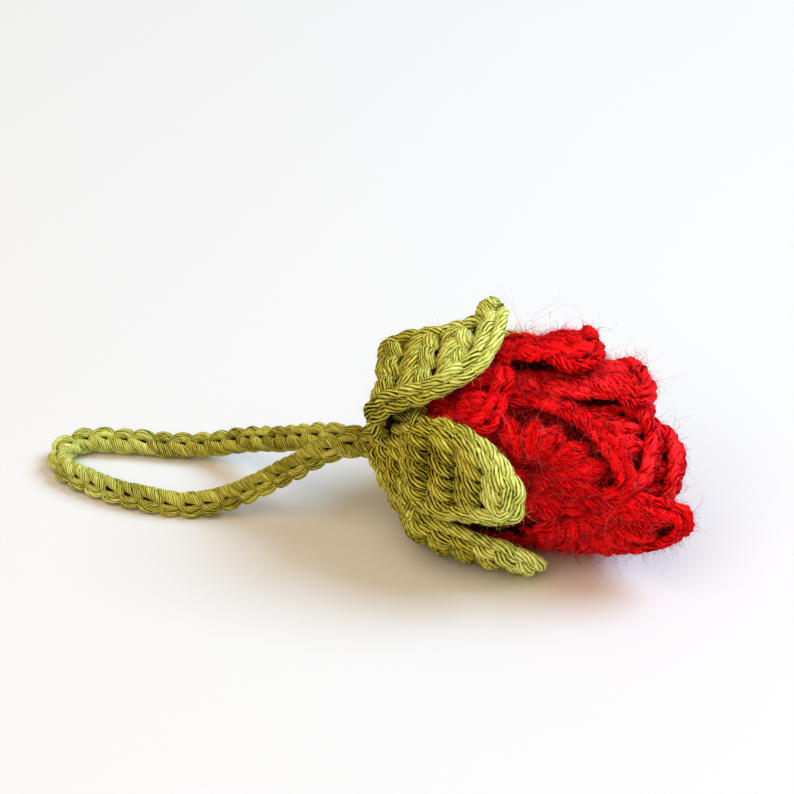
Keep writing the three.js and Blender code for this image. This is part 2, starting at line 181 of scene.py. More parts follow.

# The strands on the rear of the fabric, darkened as painted shade so that they show dark between the stitches
PETAL_REAR = {"rings": 14, "sides": 6, "end": 1.0, "tint": -3.2}
SEPAL_REAR = {"rings": 7, "sides": 7, "end": 0.8, "tint": -2.0}
CUP_REAR = {"rings": 6, "sides": 7, "end": 1.0, "tint": -0.8}
# The cord's core, darkened as painted shade that shows through the cord's holes
CORE_PAINTED_SHADE = -2.0

# Loose fibres: usual and greatest length, how far they stand out, curl, thickness, rings, and tints if not usual
SHORT_RED = (0.8, 1.5, 0.5, 1.2, 0.035, 5)
CURLY_RED = (1.2, 2.4, 1.1, 1.6, 0.026, 6)
LONG_RED = (3.0, 5.5, 0.4, 1.2, 0.024, 10, (0.65, 0.95))
SHORT_GREEN = (0.6, 1.4, 0.9, 1.0, 0.022, 5)
PALE_GREEN = (0.6, 1.2, 0.7, 1.0, 0.03, 5, (0.85, 1.0))
CORD_GREEN = (0.45, 0.9, 0.9, 0.8, 0.02, 5)
CURLY_SHARE = 2
LONG_SHARE = 70
GREEN_FIBRES = 1500
PALE_FIBRES = 500
CORD_FIBRES = 1800

# A strand's round section has lumps where its plies lie, its ends are thinner, and it stays above the floor
LUMPS = 4
END_SHARE = 0.3
YARN_FLOOR = 0.02
FIBRE_FLOOR = 0.05
PATTERN_SHIFT = 50
OUTER_SIDE = 0.05

# How much single fibres differ
FIBRE_SIZES = 0.5
FIBRE_LIFTS = (0.3, 1.4)
FIBRE_WAYS = 0.45
FIBRE_BEND = 0.5
FIBRE_TURNS = (3, 8)
FIBRE_COIL = 0.13
FIBRE_GIRTHS = (0.6, 1.3)
FIBRE_TIP = 0.45
FIBRE_SIDE = np.array([0.31, 0.74, 0.59])
FIBRE_CORNERS = (0.0, 2.1, 4.2)

# How much single stitches differ
STITCH_JITTER = 0.07
CORD_JITTER = 0.05
STITCH_GIRTHS = (0.92, 1.08)
CHAIN_GIRTHS = (0.93, 1.07)
CHAIN_RINGS = 11


def unit(vectors):
    return vectors / np.maximum(np.linalg.norm(vectors, axis=-1, keepdims=True), 1e-9)


def smooth(points, count):
    """A smooth line through the points, as count places at even distances."""
    points = np.asarray(points, float)
    gaps = np.maximum(np.linalg.norm(np.diff(points, axis=0), axis=1), 1e-6)
    t = np.concatenate([[0.0], np.cumsum(gaps)])
    slope = np.gradient(points, t, axis=0)
    at = np.linspace(0, t[-1], count)
    k = np.clip(np.searchsorted(t, at, side="right") - 1, 0, len(t) - 2)
    span = (t[k + 1] - t[k])[:, None]
    x = (at - t[k])[:, None] / span
    a = (2 * x**3 - 3 * x**2 + 1) * points[k] + (x**3 - 2 * x**2 + x) * span * slope[k]
    b = (3 * x**2 - 2 * x**3) * points[k + 1] + (x**3 - x**2) * span * slope[k + 1]
    return a + b


def run_along(points):
    """How far along the line each of its points is."""
    steps = np.linalg.norm(np.diff(np.asarray(points, float), axis=0), axis=1)
    return np.concatenate([[0.0], np.cumsum(steps)])


def line_length(points):
    return float(run_along(points)[-1])


def pick(run, values, at):
    """The values of a line at distances along it."""
    return np.stack([np.interp(at, run, values[:, i]) for i in range(values.shape[1])], axis=1)


def even(points, count):
    """The same line as count places at even distances, without rounding its corners."""
    points = np.asarray(points, float)
    run = run_along(points)
    return pick(run, points, np.linspace(0, run[-1], count))


def stitches(length, spacing, fewest=0):
    """How many stitches go into a length."""
    return max(fewest, round(length / spacing))


def quarter(share):
    """A rise from 0 to 1 that is steep at first and level at its end."""
    return np.sin(np.clip(share, 0, 1) * np.pi / 2)


def tube_quads(index):
    """The faces of tubes, from the numbers of their corners: the last axis runs round a ring."""
    after = np.roll(index, -1, axis=-1)
    here, ahead = np.s_[..., :-1, :], np.s_[..., 1:, :]
    return np.stack([index[here], after[here], after[ahead], index[ahead]], axis=-1).reshape(-1, 4)


class Wool:
    """The strands of yarn of one piece, gathered into one mesh with a fibre direction, a tone (dark ones are painted
    shade) and a share of painted light for each.
    """

    def __init__(self, name):
        self.name = name
        self.points, self.tints, self.pales = [], [], []
        self.quads, self.quad_uvs, self.caps = [], [], []
        self.roots, self.hairs = [], []
        self.count = 0

    def strand(
        self, line, radius, normal, sides=12, plies=9, twist=0.35, lump=0.06, rough=0.03, end=0.4, tint=None, pale=0.0
    ):
        """A strand of yarn along a line. The second UV counts its plies, which turn round it as they run."""
        rings = len(line)
        along = unit(np.gradient(line, axis=0))
        normal = np.broadcast_to(np.asarray(normal, float), line.shape)
        side = unit(np.cross(along, normal))
        up = np.cross(side, along)
        run = run_along(line)
        share = run / max(run[-1], 1e-6)
        rise = quarter(share / END_SHARE) * quarter((1 - share) / END_SHARE)
        girth = radius * (end + (1 - end) * rise)
        angle = 2 * np.pi * np.arange(sides + 1) / sides
        turned = angle[None, :] + twist * run[:, None] + rng.uniform(0, 2 * np.pi)
        lumps = 1 + lump * np.cos(LUMPS * turned[:, :-1]) + rng.normal(0, rough, (rings, sides))
        around = angle[:-1, None]
        spread = np.cos(around) * side[:, None, :] + np.sin(around) * up[:, None, :]
        skin = line[:, None, :] + (girth[:, None] * lumps)[:, :, None] * spread
        skin[:, :, 2] = np.maximum(skin[:, :, 2], YARN_FLOOR)
        index = self.count + np.arange(rings * sides).reshape(rings, sides)
        ply = plies * turned / (2 * np.pi)
        place = np.stack([np.broadcast_to(rng.uniform(0, PATTERN_SHIFT) + run[:, None], ply.shape), ply], axis=-1)
        uvs = np.stack([place[:-1, :-1], place[:-1, 1:], place[1:, 1:], place[1:, :-1]], axis=2)
        self.points.append(skin.reshape(-1, 3))
        # A random tone for each strand; a given dark value is painted shade
        self.tints.append(np.full(rings * sides, rng.uniform(0, 1) if tint is None else tint))
        # The strand's share of painted light, which colours its lit parts paler
        self.pales.append(np.full(rings * sides, pale))
        self.quads.append(tube_quads(index))
        self.quad_uvs.append(uvs.reshape(-1, 2))
        self.caps += [index[0][::-1], index[-1]]
        outer = np.sin(angle[:-1]) > OUTER_SIDE
        ways = np.broadcast_to(along[1:-1, None, :], (rings - 2, outer.sum(), 3))
        self.roots.append([v.reshape(-1, 3) for v in (skin[1:-1, outer], spread[1:-1, outer], ways)])
        self.count += rings * sides

    def fuzz(self, count, length, longest, stand, curl, thick, rings, tints=(0.0, 0.9)):
        """Loose fibres that stand out of the yarn."""
        place, out, along = (np.concatenate([r[i] for r in self.roots]) for i in range(3))
        chosen = rng.integers(0, len(place), count)
        size = np.minimum(length * rng.lognormal(0, FIBRE_SIZES, count), longest)[:, None, None]
        sign = rng.choice([-1.0, 1.0], count)[:, None]
        lift = out[chosen] * stand * rng.uniform(*FIBRE_LIFTS, (count, 1))
        way = unit(lift + along[chosen] * sign + rng.normal(0, FIBRE_WAYS, (count, 3)))[:, None, :]
        steps = np.linspace(0, 1, rings)[None, :, None]
        bend = steps**2 * rng.normal(0, FIBRE_BEND * curl, (count, 1, 3))
        turn = steps * rng.uniform(*FIBRE_TURNS, (count, 1, 1)) + rng.uniform(0, 2 * np.pi, (count, 1, 1))
        start = turn[:, :1]
        coil = (np.cos(turn) - np.cos(start)) * rng.normal(0, 1, (count, 1, 3))
        coil = coil + (np.sin(turn) - np.sin(start)) * rng.normal(0, 1, (count, 1, 3))
        line = place[chosen][:, None, :] + size * (steps * way + bend + FIBRE_COIL * curl * coil)
        line[:, :, 2] = np.maximum(line[:, :, 2], FIBRE_FLOOR)
        self.hairs.append((line, thick * rng.uniform(*FIBRE_GIRTHS, count), rng.uniform(*tints, count)))

    def build(self, body, nodes, slot):
        """The mesh of all strands and fibres, on its body and in place of the nodes."""
        yarn_quads = sum(len(q) for q in self.quads)
        corners = len(FIBRE_CORNERS)
        for line, thick, shades in self.hairs:
            count, rings = line.shape[:2]
            along = unit(np.gradient(line, axis=1))
            side = unit(np.cross(along, FIBRE_SIDE))
            up = np.cross(side, along)
            girth = (thick[:, None] * np.linspace(1.0, FIBRE_TIP, rings))[:, :, None]
            skin = [line + girth * (math.cos(a) * side + math.sin(a) * up) for a in FIBRE_CORNERS]
            index = self.count + np.arange(count * rings * corners).reshape(count, rings, corners)
            self.quads.append(tube_quads(index))
            self.points.append(np.stack(skin, axis=2).reshape(-1, 3))
            self.tints.append(np.repeat(shades, rings * corners))
            self.pales.append(np.zeros(index.size))
            self.quad_uvs.append(np.zeros((len(self.quads[-1]) * 4, 2)))
            self.count += index.size
        points, quads = np.concatenate(self.points) * MM, np.concatenate(self.quads)
        caps = np.concatenate(self.caps)
        uvs = np.concatenate([*self.quad_uvs, np.zeros((len(caps), 2))])
        loops = np.concatenate([quads.ravel(), caps])
        sizes = np.concatenate([np.full(len(quads), 4), [len(c) for c in self.caps]])
        starts = np.concatenate([[0], np.cumsum(sizes)[:-1]])
        which = np.zeros(len(sizes), np.int32)
        which[yarn_quads : len(quads)] = 1
        mesh = bpy.data.meshes.new(self.name)
        mesh.vertices.add(len(points))
        mesh.vertices.foreach_set("co", points.astype(np.float32).ravel())
        mesh.loops.add(len(loops))
        mesh.loops.foreach_set("vertex_index", loops.astype(np.int32))
        mesh.polygons.add(len(sizes))
        mesh.polygons.foreach_set("loop_start", starts.astype(np.int32))
        mesh.polygons.foreach_set("use_smooth", np.ones(len(sizes), bool))
        mesh.polygons.foreach_set("material_index", which)
        layer = mesh.uv_layers.new(name="fibre")
        layer.data.foreach_set("uv", uvs.astype(np.float32).ravel())
        for name, values in (("tint", self.tints), ("pale", self.pales)):
            attribute = mesh.attributes.new(name, "FLOAT", "POINT")
            attribute.data.foreach_set("value", np.concatenate(values).astype(np.float32))
        mesh.update(calc_edges=True)
        mesh.validate()
        for mat in YARNS[slot]:
            mesh.materials.append(mat)
        obj = bpy.data.objects.new(self.name, mesh)
        bpy.context.scene.collection.objects.link(obj)
        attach(obj, body)
        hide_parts(*nodes)
        return obj


class Cloth:
    """A surface that stitches are worked on. at(p, q) gives places on its middle."""

    nudge = (0.02, 0.02)

    def put(self, p, q, height):
        """Places at a height above the middle, and the ways that the surface faces there."""
        p, q, height = (np.array(v, float) for v in np.broadcast_arrays(p, q, height))
        e, f = self.nudge
        across = self.at(p + e, q) - self.at(p - e, q)
        along = self.at(p, q + f) - self.at(p, q - f)
        normal = unit(np.cross(along, across))
        return self.at(p, q) + normal * height[:, None], normal

    def ear(self, wool, p, q, height, radius, rings, **look):
        """One strand of a stitch, through a few places of the cloth."""
        points, normals = self.put(p, q, height)
        points = points + rng.normal(0, STITCH_JITTER, points.shape)
        line = smooth(points, rings)
        wool.strand(line, radius * rng.uniform(*STITCH_GIRTHS), even(normals, rings), **look)


def on_bud(along, radius, angle):
    angle = np.radians(angle)
    y = AXIS_Y - radius * np.cos(angle)
    z = AXIS_Z + radius * np.sin(angle)
    return np.stack(np.broadcast_arrays(POLE_X + along, y, z), axis=-1)


def swell(along):
    return BASE_SWELL + (1 - BASE_SWELL) * quarter((along - PETAL_BASE) / SWELL_LENGTH)


def strip_radius(turn):
    return STRIP_RADIUS - STRIP_PITCH * turn / 360


class Petal(Cloth):
    """A petal of the rolled strip: p is across in mm, q is along the axis in mm."""

    rim_steps = 160
    side_steps = 12

    def __init__(self, row, start):
        self.name, self.body, span, self.notches, self.bulge, self.peak, self.lean, self.centre = row
        self.stop = CORE_TURN if span is None else start + span
        gap = math.degrees(PETAL_CLEARANCE / (strip_radius(self.stop) * BASE_SWELL))
        self.start, self.end = start + gap, self.stop - gap
        self.middle = (self.start + self.end) / 2
        self.radius = strip_radius(self.middle)
        self.half = math.radians((self.end - self.start) / 2) * self.radius
        self.lip, self.pitch, self.rise, self.show = LIPS.get(self.name, USUAL_LIP)
        self.open = self.name in OPEN_PETALS
        self.post, self.spacing, self.gap, self.hole, self.head = OPEN_ROWS if self.open else USUAL_ROWS
        self.fuzz = FUZZY_FIBRES if self.name in FUZZY else USUAL_FIBRES
        # Lit petals are coloured paler as painted light
        self.pale = SUNLIT_PAINTED_LIGHT if self.name in SUNLIT else 0.0

    def edge(self, u):
        u = np.clip(u, 0, 1)
        skewed = u ** (math.log(0.5) / math.log(self.peak))
        scallop = np.maximum(0, 1 - np.abs(2 * skewed - 1) ** SCALLOP) ** (1 / SCALLOP)
        return BUD_LENGTH * (self.notches[0] + (self.notches[1] - self.notches[0]) * u + self.bulge * scallop)

    def at(self, p, q):
        turn = self.middle + np.degrees(p / self.radius)
        u = (turn - self.start) / (self.end - self.start)
        v = np.clip((q - PETAL_BASE) / (self.edge(u) - PETAL_BASE), 0, LEAN_END)
        radius = strip_radius(turn) * swell(q) * (1 + self.lean * v**LEAN_POWER)
        return on_bud(q, radius, STRIP_END_ANGLE + turn)

    def outline(self, low):
        """The free edge, from low on one side round to low on the other, and its part without the sides."""
        u = np.linspace(0, 1, self.rim_steps)
        rim = np.stack([(2 * u - 1) * self.half, self.edge(u)], axis=1)
        count = self.side_steps
        rising = np.linspace(low, rim[0, 1], count, endpoint=False)
        falling = np.linspace(rim[-1, 1], low, count + 1)[1:]
        left = np.stack([np.full(count, -self.half), rising], axis=1)
        right = np.stack([np.full(count, self.half), falling], axis=1)
        return np.concatenate([left, rim, right]), rim


class Sepal(Cloth):
    """A sepal: p is across in mm, q is the share of its length."""

    nudge = (0.02, 0.002)

    def __init__(self, row):
        self.name, self.angle, self.halves, self.taper, self.tip, spine = row
        path = smooth([(CUP_DEPTH + a, RIM_OUTER + b) for a, b in spine], SPINE_STEPS)
        self.length = line_length(path)
        self.spine = even(path, SPINE_STEPS)

    def at(self, p, q):
        share = np.linspace(0, 1, SPINE_STEPS)
        inside = np.clip(q, 0, 1)
        along = np.interp(inside, share, self.spine[:, 0])
        radius = np.interp(inside, share, self.spine[:, 1])
        past = (q - inside) * self.length
        last = unit(self.spine[-1] - self.spine[-4])
        first = unit(self.spine[3] - self.spine[0])
        along = along + np.where(past > 0, past * last[0], past * first[0])
        radius = radius + np.where(past > 0, past * last[1], past * first[1])
        return on_bud(along, radius, self.angle + self.tip * q * q + np.degrees(p / radius))

    def half(self, side, q):
        """The width on one side of the middle line, 0 below and 1 above."""
        q = np.clip(q, 0, 1)
        low = SEPAL_ROOT_SHARE + (1 - SEPAL_ROOT_SHARE) * quarter(q / SEPAL_WIDEST)
        past = np.clip((q - SEPAL_WIDEST) / (1 - SEPAL_WIDEST), 0, 1)
        high = np.sqrt(1 - SEPAL_TIP_CUT * past ** self.taper[side])
        return self.halves[side] * np.where(q < SEPAL_WIDEST, low, high)

    def halves_at(self, q, inset):
        """Both widths at one place, less an inset."""
        return [float(self.half(side, np.array(q))) - inset for side in (0, 1)]


class Cup(Cloth):
    """The calyx cup: p is the angle in degrees, q runs from the pole to the rim in mm along its curve."""

    nudge = (0.2, 0.05)
    steps = 40

    def __init__(self):
        t = np.linspace(0, 1, self.steps)
        radius = POLE_FLAT_RADIUS + (RIM_OUTER - POLE_FLAT_RADIUS) * t**CUP_FLARE
        outside = np.stack([CUP_DEPTH * t, radius], axis=1)
        way = unit(np.gradient(outside, axis=0))
        middle = outside + CUP_WALL / 2 * np.stack([way[:, 1], -way[:, 0]], axis=1)
        self.path = np.concatenate([[[CUP_WALL / 2, PATH_START_RADIUS]], middle])
        self.run = run_along(self.path)
        self.length = self.run[-1]

    def at(self, p, q):
        along = np.interp(q, self.run, self.path[:, 0])
        radius = np.interp(q, self.run, self.path[:, 1])
        past = np.maximum(q - self.length, 0)
        return on_bud(along + past, radius, p)

    def radius(self, q):
        return float(np.interp(q, self.run, self.path[:, 1]))


# One leg of a chain stitch: places aside in widths and above in thicknesses, stagger of the legs, and outward turn
CHAIN_ASIDE = np.array([0.04, 0.36, 0.48, 0.36, 0.02])
CHAIN_ABOVE = np.array([-0.9, 0.05, 0.35, 0.12, -0.95])
CHAIN_STAGGER = 0.12
CHAIN_TURN = 0.7


def chain(wool, line, facing, pitch, width, radius, hold=0.7, pale=0.0, **look):
    """A braid of V stitches along a line. facing is where its open side looks, and hold is how far they overlap."""
    run = run_along(line)
    pale = np.broadcast_to(pale, run.shape)
    count = stitches(run[-1], pitch, fewest=2)
    step = run[-1] / count
    tangent = unit(np.gradient(line, axis=0))
    facing = unit(facing - np.sum(facing * tangent, axis=1, keepdims=True) * tangent)
    aside = np.cross(tangent, facing)
    leg = np.array([-0.5 * hold, 0.02, 0.45, 0.88, 0.9 + 0.6 * hold])
    for i in range(count):
        for sign in (-1, 1):
            x = (i + CHAIN_STAGGER * sign + leg) * step
            y = sign * width * CHAIN_ASIDE
            z = radius * CHAIN_ABOVE
            place = np.clip(x, 0, run[-1])
            beside, above = pick(run, aside, place), pick(run, facing, place)
            points = pick(run, line, place) + beside * y[:, None] + above * z[:, None]
            points = points + (x - place)[:, None] * pick(run, tangent, place)
            points = points + rng.normal(0, STITCH_JITTER, points.shape)
            normal = even(above + CHAIN_TURN * sign * beside, CHAIN_RINGS)
            share = float(np.interp((i + 0.5) * step, run, pale))
            girth = radius * rng.uniform(*CHAIN_GIRTHS)
            wool.strand(smooth(points, CHAIN_RINGS), girth, normal, pale=share, **look)


class Fan:
    """The lines that a petal's posts follow, from their feet to the petal's edge. t runs from 0 to 1 along them."""

    steps = 400
    usual_reach = 75

    def __init__(self, petal):
        outline, self.rim = petal.outline(PETAL_BASE + FAN_STARTS.get(petal.name, USUAL_FAN_START))
        if petal.centre is None:
            self.ends = even(self.rim, self.steps)
            self.feet = np.stack([self.ends[:, 0], np.full(self.steps, PETAL_BASE)], axis=1)
        else:
            self.ends = even(outline, self.steps)
            self.feet = np.tile([petal.centre[0], PETAL_BASE + petal.centre[1]], (self.steps, 1))
        self.reach = float(np.percentile(np.linalg.norm(self.ends - self.feet, axis=1), self.usual_reach))

    def spot(self, s, t):
        share = np.linspace(0, 1, self.steps)
        foot = np.stack([np.interp(s, share, self.feet[:, i]) for i in (0, 1)], axis=-1)
        end = np.stack([np.interp(s, share, self.ends[:, i]) for i in (0, 1)], axis=-1)
        return foot + (end - foot) * np.asarray(t)[..., None]

    def arc(self, t):
        return self.spot(np.linspace(0, 1, self.steps), np.full(self.steps, t))


# A tall stitch: its strands across it, their places along it, how they arch, and how much they differ
TUFT_STRANDS = (-1.0, 1.0, -0.5, 0.5, 0.0)
TUFT_ALONG = np.array([-0.1, 0.2, 0.55, 0.84, 1.04])
TUFT_LIFT = 1.05
TUFT_ROUND = 0.75
TUFT_SHOULDER = 0.25
TUFT_FOOT, TUFT_HEAD = -1.0, -1.1
TUFT_LEANS = 0.3
TUFT_LIFTS = 0.15
TUFT_LENGTHS = (0.92, 1.05)
TUFT_SPREADS = 0.14
TUFT_RINGS = 10


def tuft(petal, wool, foot, head, narrow, wide):
    """One tall stitch: a bundle of strands that is drawn in at its foot and dips into a hole at its head."""
    way = head - foot
    long = np.linalg.norm(way)
    way = way / long
    aside = np.array([way[1], -way[0]])
    lean = rng.normal(0, TUFT_LEANS)
    widths = np.array([narrow, 0.5 * (narrow + wide), wide, 0.5 * wide, 0.1 * wide])
    for share in TUFT_STRANDS:
        lift = TUFT_LIFT - TUFT_ROUND * share**2 + rng.uniform(-TUFT_LIFTS, TUFT_LIFTS)
        x = TUFT_ALONG * long * rng.uniform(*TUFT_LENGTHS)
        y = share * widths + rng.normal(0, TUFT_SPREADS, 5) + lean * np.linspace(-1, 1, 5)
        spot = foot + x[:, None] * way + y[:, None] * aside
        height = [TUFT_FOOT, lift - TUFT_SHOULDER, lift, lift - TUFT_SHOULDER, TUFT_HEAD]
        petal.ear(wool, *spot.T, height, RED_YARN, TUFT_RINGS, pale=petal.pale, **WOOLLY)


# The strands on the rear of a petal: where they start and end, their spacing, depth and thickness
REAR_START = 0.05
REAR_INSET = 0.7
REAR_SPACING = 1.7
REAR_DEPTH = -1.1
REAR_YARN = 0.95
REAR_POINTS = 9


def backing(petal, wool, fan):
    """The inside of the fabric, seen through the holes between the stitches, its strands darkened as painted shade."""
    high = 1 - REAR_INSET / fan.reach
    count = stitches(line_length(fan.arc(high)), REAR_SPACING)
    for k in range(count):
        line = fan.spot((k + 0.5) / count, np.linspace(REAR_START, high, REAR_POINTS))
        petal.ear(wool, *line.T, REAR_DEPTH, REAR_YARN, **PETAL_REAR)


# The rows of a petal: widths and least lengths, how much places and feet differ, and the chain between two rows
ROW_WIDE, ROW_NARROW, ROW_WIDEST = 0.33, 0.3, 1.9
SHORTEST_STITCH = 2.5
SHORTEST_ROW = 3
STITCH_PLACES = 0.12
STITCH_FEET = 0.12
LINK_INSET = 4
LINK_DEPTH = -0.35
LINK_PITCH, LINK_WIDTH, LINK_HOLD = 3.4, 1.9, 0.5
RIM_STEPS = 200


def petal_row(petal, wool, fan, low, high):
    """One row of tall stitches, from low to high along the fan."""
    arc = fan.arc(high)
    count = stitches(line_length(arc), petal.spacing, fewest=3)
    wide = min(ROW_WIDE * line_length(arc) / count, ROW_WIDEST)
    narrow = min(wide, ROW_NARROW * line_length(fan.arc(low)) / count)
    for k in range(count):
        s = (k + 0.5 + rng.normal(0, STITCH_PLACES)) / count
        start = low + rng.uniform(0, STITCH_FEET) * (high - low) * petal.open
        foot, head = fan.spot(s, start), fan.spot(s, high)
        if np.linalg.norm(head - foot) > SHORTEST_STITCH:
            tuft(petal, wool, foot, head, narrow, wide)
    if high < 1 - LINK_INSET / fan.reach:
        line, normal = petal.put(*arc.T, LINK_DEPTH)
        chain(wool, line, normal, LINK_PITCH, LINK_WIDTH, RED_YARN, LINK_HOLD, petal.pale, **WOOLLY)


def petal_piece(petal):
    wool = Wool(petal.name + "_yarn")
    fan = Fan(petal)
    backing(petal, wool, fan)
    high = 1 - petal.head / fan.reach
    while high * fan.reach > SHORTEST_ROW:
        low = max(high - petal.post / fan.reach, petal.hole / fan.reach)
        petal_row(petal, wool, fan, low, high)
        high = low - petal.gap / fan.reach
    border = even(fan.rim, RIM_STEPS)
    line, normal = petal.put(border[:, 0], border[:, 1] - LIP_INSET, petal.rise)
    out = unit(np.cross(unit(np.gradient(line, axis=0)), normal))
    if np.sum(out[:, 0]) < 0:
        out = -out
    facing = out + petal.show * normal
    width, thick = LIP_WIDTH * petal.lip, LIP_YARN * petal.lip
    chain(wool, line, facing, petal.pitch, width, thick, LIP_HOLD, petal.pale, **WOOLLY)
    wool.fuzz(petal.fuzz, *SHORT_RED)
    wool.fuzz(petal.fuzz // CURLY_SHARE, *CURLY_RED)
    wool.fuzz(petal.fuzz // LONG_SHARE, *LONG_RED)
    wool.build(petal.body, [petal.name], "red_yarn")


# The bobble at the tip of the top sepal: its place, its size, and its wraps
BOBBLE_ACROSS, BOBBLE_ALONG = 4.4, 0.93
BOBBLE_SIZE = 1.9
BOBBLE_HEIGHT = 0.8
# The bobble is coloured paler as painted light on the lit tip
BOBBLE_PAINTED_LIGHT = 0.6
BOBBLE_WRAPS = (-0.8, -0.4, 0.0, 0.4, 0.8)
BOBBLE_ROUND = 0.7
BOBBLE_TURN = np.radians(np.linspace(-60, 240, 9))
BOBBLE_JITTER = 0.06
BOBBLE_YARN = 0.8
BOBBLE_RINGS = 14


def bobble(sepal, wool):
    """A ball of wraps at a tip."""
    along = BOBBLE_ALONG + np.array([-0.02, 0.0, 0.02])
    spots, normals = sepal.put(BOBBLE_ACROSS, along, BOBBLE_HEIGHT * BOBBLE_SIZE)
    axis = unit(spots[2] - spots[0])
    normal = normals[1]
    across = np.cross(axis, normal)
    circle = np.cos(BOBBLE_TURN)[:, None] * across + np.sin(BOBBLE_TURN)[:, None] * normal
    for shift in BOBBLE_WRAPS:
        ring = BOBBLE_SIZE * math.sqrt(1 - BOBBLE_ROUND * shift**2) * circle
        line = spots[1] + shift * BOBBLE_SIZE * axis + ring + rng.normal(0, BOBBLE_JITTER, ring.shape)
        facing = unit(ring[[0, 4, 8]]).mean(axis=0)
        wool.strand(smooth(line, BOBBLE_RINGS), BOBBLE_YARN, facing, pale=BOBBLE_PAINTED_LIGHT, **PLIED)


# The V stitches of the top sepal: their columns, spacing, arms as places across and along, and how high they arch
VEE_COLUMN = 7.4
VEE_SHARE = 0.9
VEE_LAST = 0.92
VEE_INSET = 1.4
VEE_SPACING = 5.6
VEE_PLACES = 0.12
VEE_STRANDS = (-1.5, 1.5, -0.5, 0.5)
VEE_ACROSS = np.array([-1.2, 0.8, 3.2, 5.6])
VEE_ALONG = np.array([0.4, 1.7, 2.5, 2.5])
VEE_SHIFT_ACROSS, VEE_SHIFT_ALONG = 0.5, 0.62
VEE_LIFT, VEE_ROUND, VEE_SHOULDER, VEE_END = 1.35, 0.4, 0.4, -1.4
VEE_ROOT, VEE_ROOT_DROP = 0.3, 0.5
# The V stitches turn paler towards the tip as painted light
VEE_PAINTED_LIGHT_START, VEE_PAINTED_LIGHT_RUN = 0.5, 0.25
VEE_YARN = 0.84
VEE_RINGS = 12


def vees(sepal, wool):
    """Columns of broad V stitches across a sepal. Each arm of a V is an arched bundle of strands."""
    columns = stitches(sepal.length * VEE_SHARE, VEE_COLUMN)
    for c in range(columns):
        mid = VEE_LAST * (c + 0.5) / columns
        below, above = sepal.halves_at(mid, VEE_INSET)
        count = stitches(below + above, VEE_SPACING, fewest=2)
        pale = float(np.clip((mid - VEE_PAINTED_LIGHT_START) / VEE_PAINTED_LIGHT_RUN, 0, 1))
        for k in range(count):
            foot = -below + (k + rng.uniform(-VEE_PLACES, VEE_PLACES)) * (below + above) / count
            for sign in (-1, 1):
                for side in VEE_STRANDS:
                    p = foot + VEE_ACROSS - VEE_SHIFT_ACROSS * side
                    q = mid + sign * (VEE_ALONG + VEE_SHIFT_ALONG * side) / sepal.length
                    lift = VEE_LIFT - VEE_ROUND * side**2 - VEE_ROOT_DROP * (mid < VEE_ROOT)
                    height = [VEE_END, lift - VEE_SHOULDER, lift, VEE_END]
                    sepal.ear(wool, p, q, height, VEE_YARN, VEE_RINGS, pale=pale, **PLIED)


# The ribs of the other sepals: their width and places, and the slanted strands that they are made of
RIB_WIDTH = 4.6
RIB_SHARE = 0.92
RIB_FIRST, RIB_LAST = -0.03, 0.93
RIB_INSET = 1.5
RIB_PAST = 0.6
RIB_SLANT, RIB_SLANT_GROWTH, RIB_SLANT_POWER = 1.2, 3.4, 1.2
# The ribs turn paler towards the tip as painted light
RIB_PAINTED_LIGHT_START, RIB_PAINTED_LIGHT_RUN = 0.55, 0.4
RIB_SPACING = 2.15
RIB_ACROSS = np.array([0.5, 0.3, -0.12, -0.55])
RIB_ALONG = np.array([-0.1, 0.2, 0.58, 0.96])
RIB_HEIGHT = [-1.5, 0.75, 1.3, -2.0]
RIB_YARN = 1.06
RIB_RINGS = 11
RIB_REAR_SPACING = 2.2
RIB_REAR_ACROSS = np.array([-0.6, 0.0, 0.6])
RIB_REAR_ALONG = np.array([-0.06, 0.5, 1.1])
RIB_REAR_HEIGHT = [-0.9, -1.0, -0.9]
RIB_REAR_YARN = 1.15

# The edge of a sepal: where it turns at the tip, its inset and height, how it is smoothed, and its chain
HEM_END = 0.97
HEM_INSET = 0.5
HEM_HEIGHT = 0.3
HEM_SIDE_STEPS, HEM_TIP_STEPS = 90, 20
HEM_WINDOW = 11
HEM_OUT, HEM_UP = 0.6, 0.8
HEM_PITCH, HEM_WIDTH, HEM_YARN = 4.2, 2.4, 1.15
# The hem turns paler towards the tip as painted light
HEM_PAINTED_LIGHT_START, HEM_PAINTED_LIGHT_RUN = 0.45, 0.45


def ribs(sepal, wool):
    """The ribs of a sepal and the strands behind them. The top sepal has V stitches in place of the ribs."""
    count = stitches(sepal.length * RIB_SHARE, RIB_WIDTH, fewest=4)
    marks = np.linspace(RIB_FIRST, RIB_LAST, count + 1)
    for low, high in zip(marks[:-1], marks[1:]):
        mid = (low + high) / 2
        below, above = sepal.halves_at(mid, RIB_INSET)
        span = below + above
        step = high - low
        slant = RIB_SLANT + RIB_SLANT_GROWTH * max(mid, 0) ** RIB_SLANT_POWER
        pale = float(np.clip((mid - RIB_PAINTED_LIGHT_START) / RIB_PAINTED_LIGHT_RUN, 0, 1))
        front = stitches(span, RIB_SPACING, fewest=3)
        for k in range(front if sepal.name != "sepal_top" else 0):
            p = -below + (k + 0.5) * span / front + slant * RIB_ACROSS
            p = np.clip(p, -below - RIB_PAST, above + RIB_PAST)
            sepal.ear(wool, p, low + step * RIB_ALONG, RIB_HEIGHT, RIB_YARN, RIB_RINGS, pale=pale, **PLIED)
        rear = stitches(span, RIB_REAR_SPACING, fewest=3)
        for k in range(rear):
            p = -below + (k + 0.5) * span / rear + RIB_REAR_ACROSS
            q = low + step * RIB_REAR_ALONG
            sepal.ear(wool, p, q, RIB_REAR_HEIGHT, RIB_REAR_YARN, pale=pale, **SEPAL_REAR)


